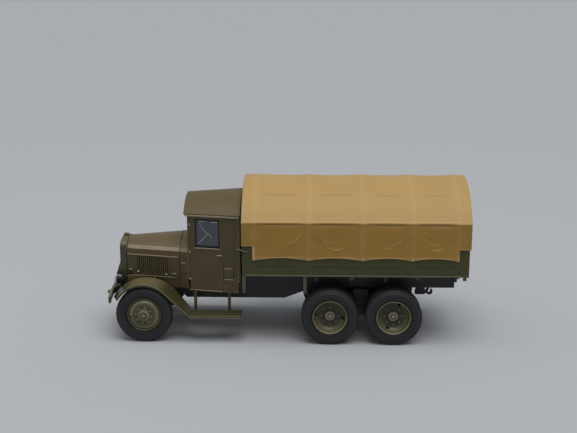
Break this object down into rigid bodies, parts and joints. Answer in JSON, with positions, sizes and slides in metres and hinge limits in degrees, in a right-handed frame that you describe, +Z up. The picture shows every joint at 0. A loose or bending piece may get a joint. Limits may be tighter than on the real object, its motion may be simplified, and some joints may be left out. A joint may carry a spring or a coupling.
{
  "type": "scale model of a three-axle military cargo truck",
  "caption": "Scale model of a bonneted three-axle cargo truck with a canvas tilt over its bed; three wheelsets turn on steel pins in a fixed chassis.",
  "frame": {"origin": "on the ground, under the middle of the whole length and width", "axes": "+X forward along the truck, +Y to the truck's left, +Z up"},
  "size_m": [0.1638, 0.0556, 0.0724],
  "materials": {
    "cab_paint": "satin brownish olive paint",
    "radiator_paint": "satin green olive paint",
    "wing_paint": "satin yellow olive paint",
    "bed_paint": "matt dark olive green paint",
    "chassis_paint": "matt black",
    "lamp_paint": "gloss black",
    "lamp_glass": "clear lens",
    "window_glass": "clear",
    "tilt_canvas": "matt tan, moulded as canvas",
    "bow_paint": "matt olive",
    "cab_trim": "matt dark brown",
    "tyre_rubber": "matt black",
    "axle_steel": "plain steel"
  },
  "bodies": {
    "truck": {"bonnet_top": "cab_paint", "bonnet_sides": "cab_paint", "cowl": "cab_paint", "cab_roof": "cab_paint", "cab_front": "cab_paint", "cab_back": "cab_paint", "doors": "cab_paint", "cab_quarters": "cab_paint", "radiator_shell": "radiator_paint", "front_apron": "radiator_paint", "wings": "wing_paint", "running_boards": "wing_paint", "front_bumper": "wing_paint", "bed_floor": "bed_paint", "bed_sides": "bed_paint", "bed_front_board": "bed_paint", "tailgate": "bed_paint", "bed_struts": "bed_paint", "bed_bearers": "bed_paint", "frame_rails": "chassis_paint", "frame_crossmembers": "chassis_paint", "tow_hooks": "chassis_paint", "engine_block": "chassis_paint", "gearbox": "chassis_paint", "drive_shafts": "chassis_paint", "front_axle_beam": "chassis_paint", "front_springs": "chassis_paint", "rear_axle_housings": "chassis_paint", "bogie_springs": "chassis_paint", "radiator_core": "chassis_paint", "headlights": "lamp_paint", "headlight_lenses": "lamp_glass", "window_glass": "window_glass", "tilt": "tilt_canvas", "tilt_bows": "bow_paint", "cab_floor": "cab_trim", "seat": "cab_trim", "steering_wheel": "cab_trim"},
    "front_axle": {"front_axle_pin": "axle_steel", "front_wheels": "wing_paint", "front_tyres": "tyre_rubber"},
    "middle_axle": {"middle_axle_pin": "axle_steel", "middle_wheels": "wing_paint", "middle_tyres": "tyre_rubber"},
    "rear_axle": {"rear_axle_pin": "axle_steel", "rear_wheels": "wing_paint", "rear_tyres": "tyre_rubber"}
  },
  "joints": [
    {"name": "front_wheels_roll", "type": "hinge", "parent": "truck", "child": "front_axle", "pos_m": [0.06285, 0, 0.0128], "axis": [0, 1, 0], "continuous": true},
    {"name": "middle_wheels_roll", "type": "hinge", "parent": "truck", "child": "middle_axle", "pos_m": [-0.02075, 0, 0.0128], "axis": [0, 1, 0], "continuous": true},
    {"name": "rear_wheels_roll", "type": "hinge", "parent": "truck", "child": "rear_axle", "pos_m": [-0.04915, 0, 0.0128], "axis": [0, 1, 0], "continuous": true}
  ]
}
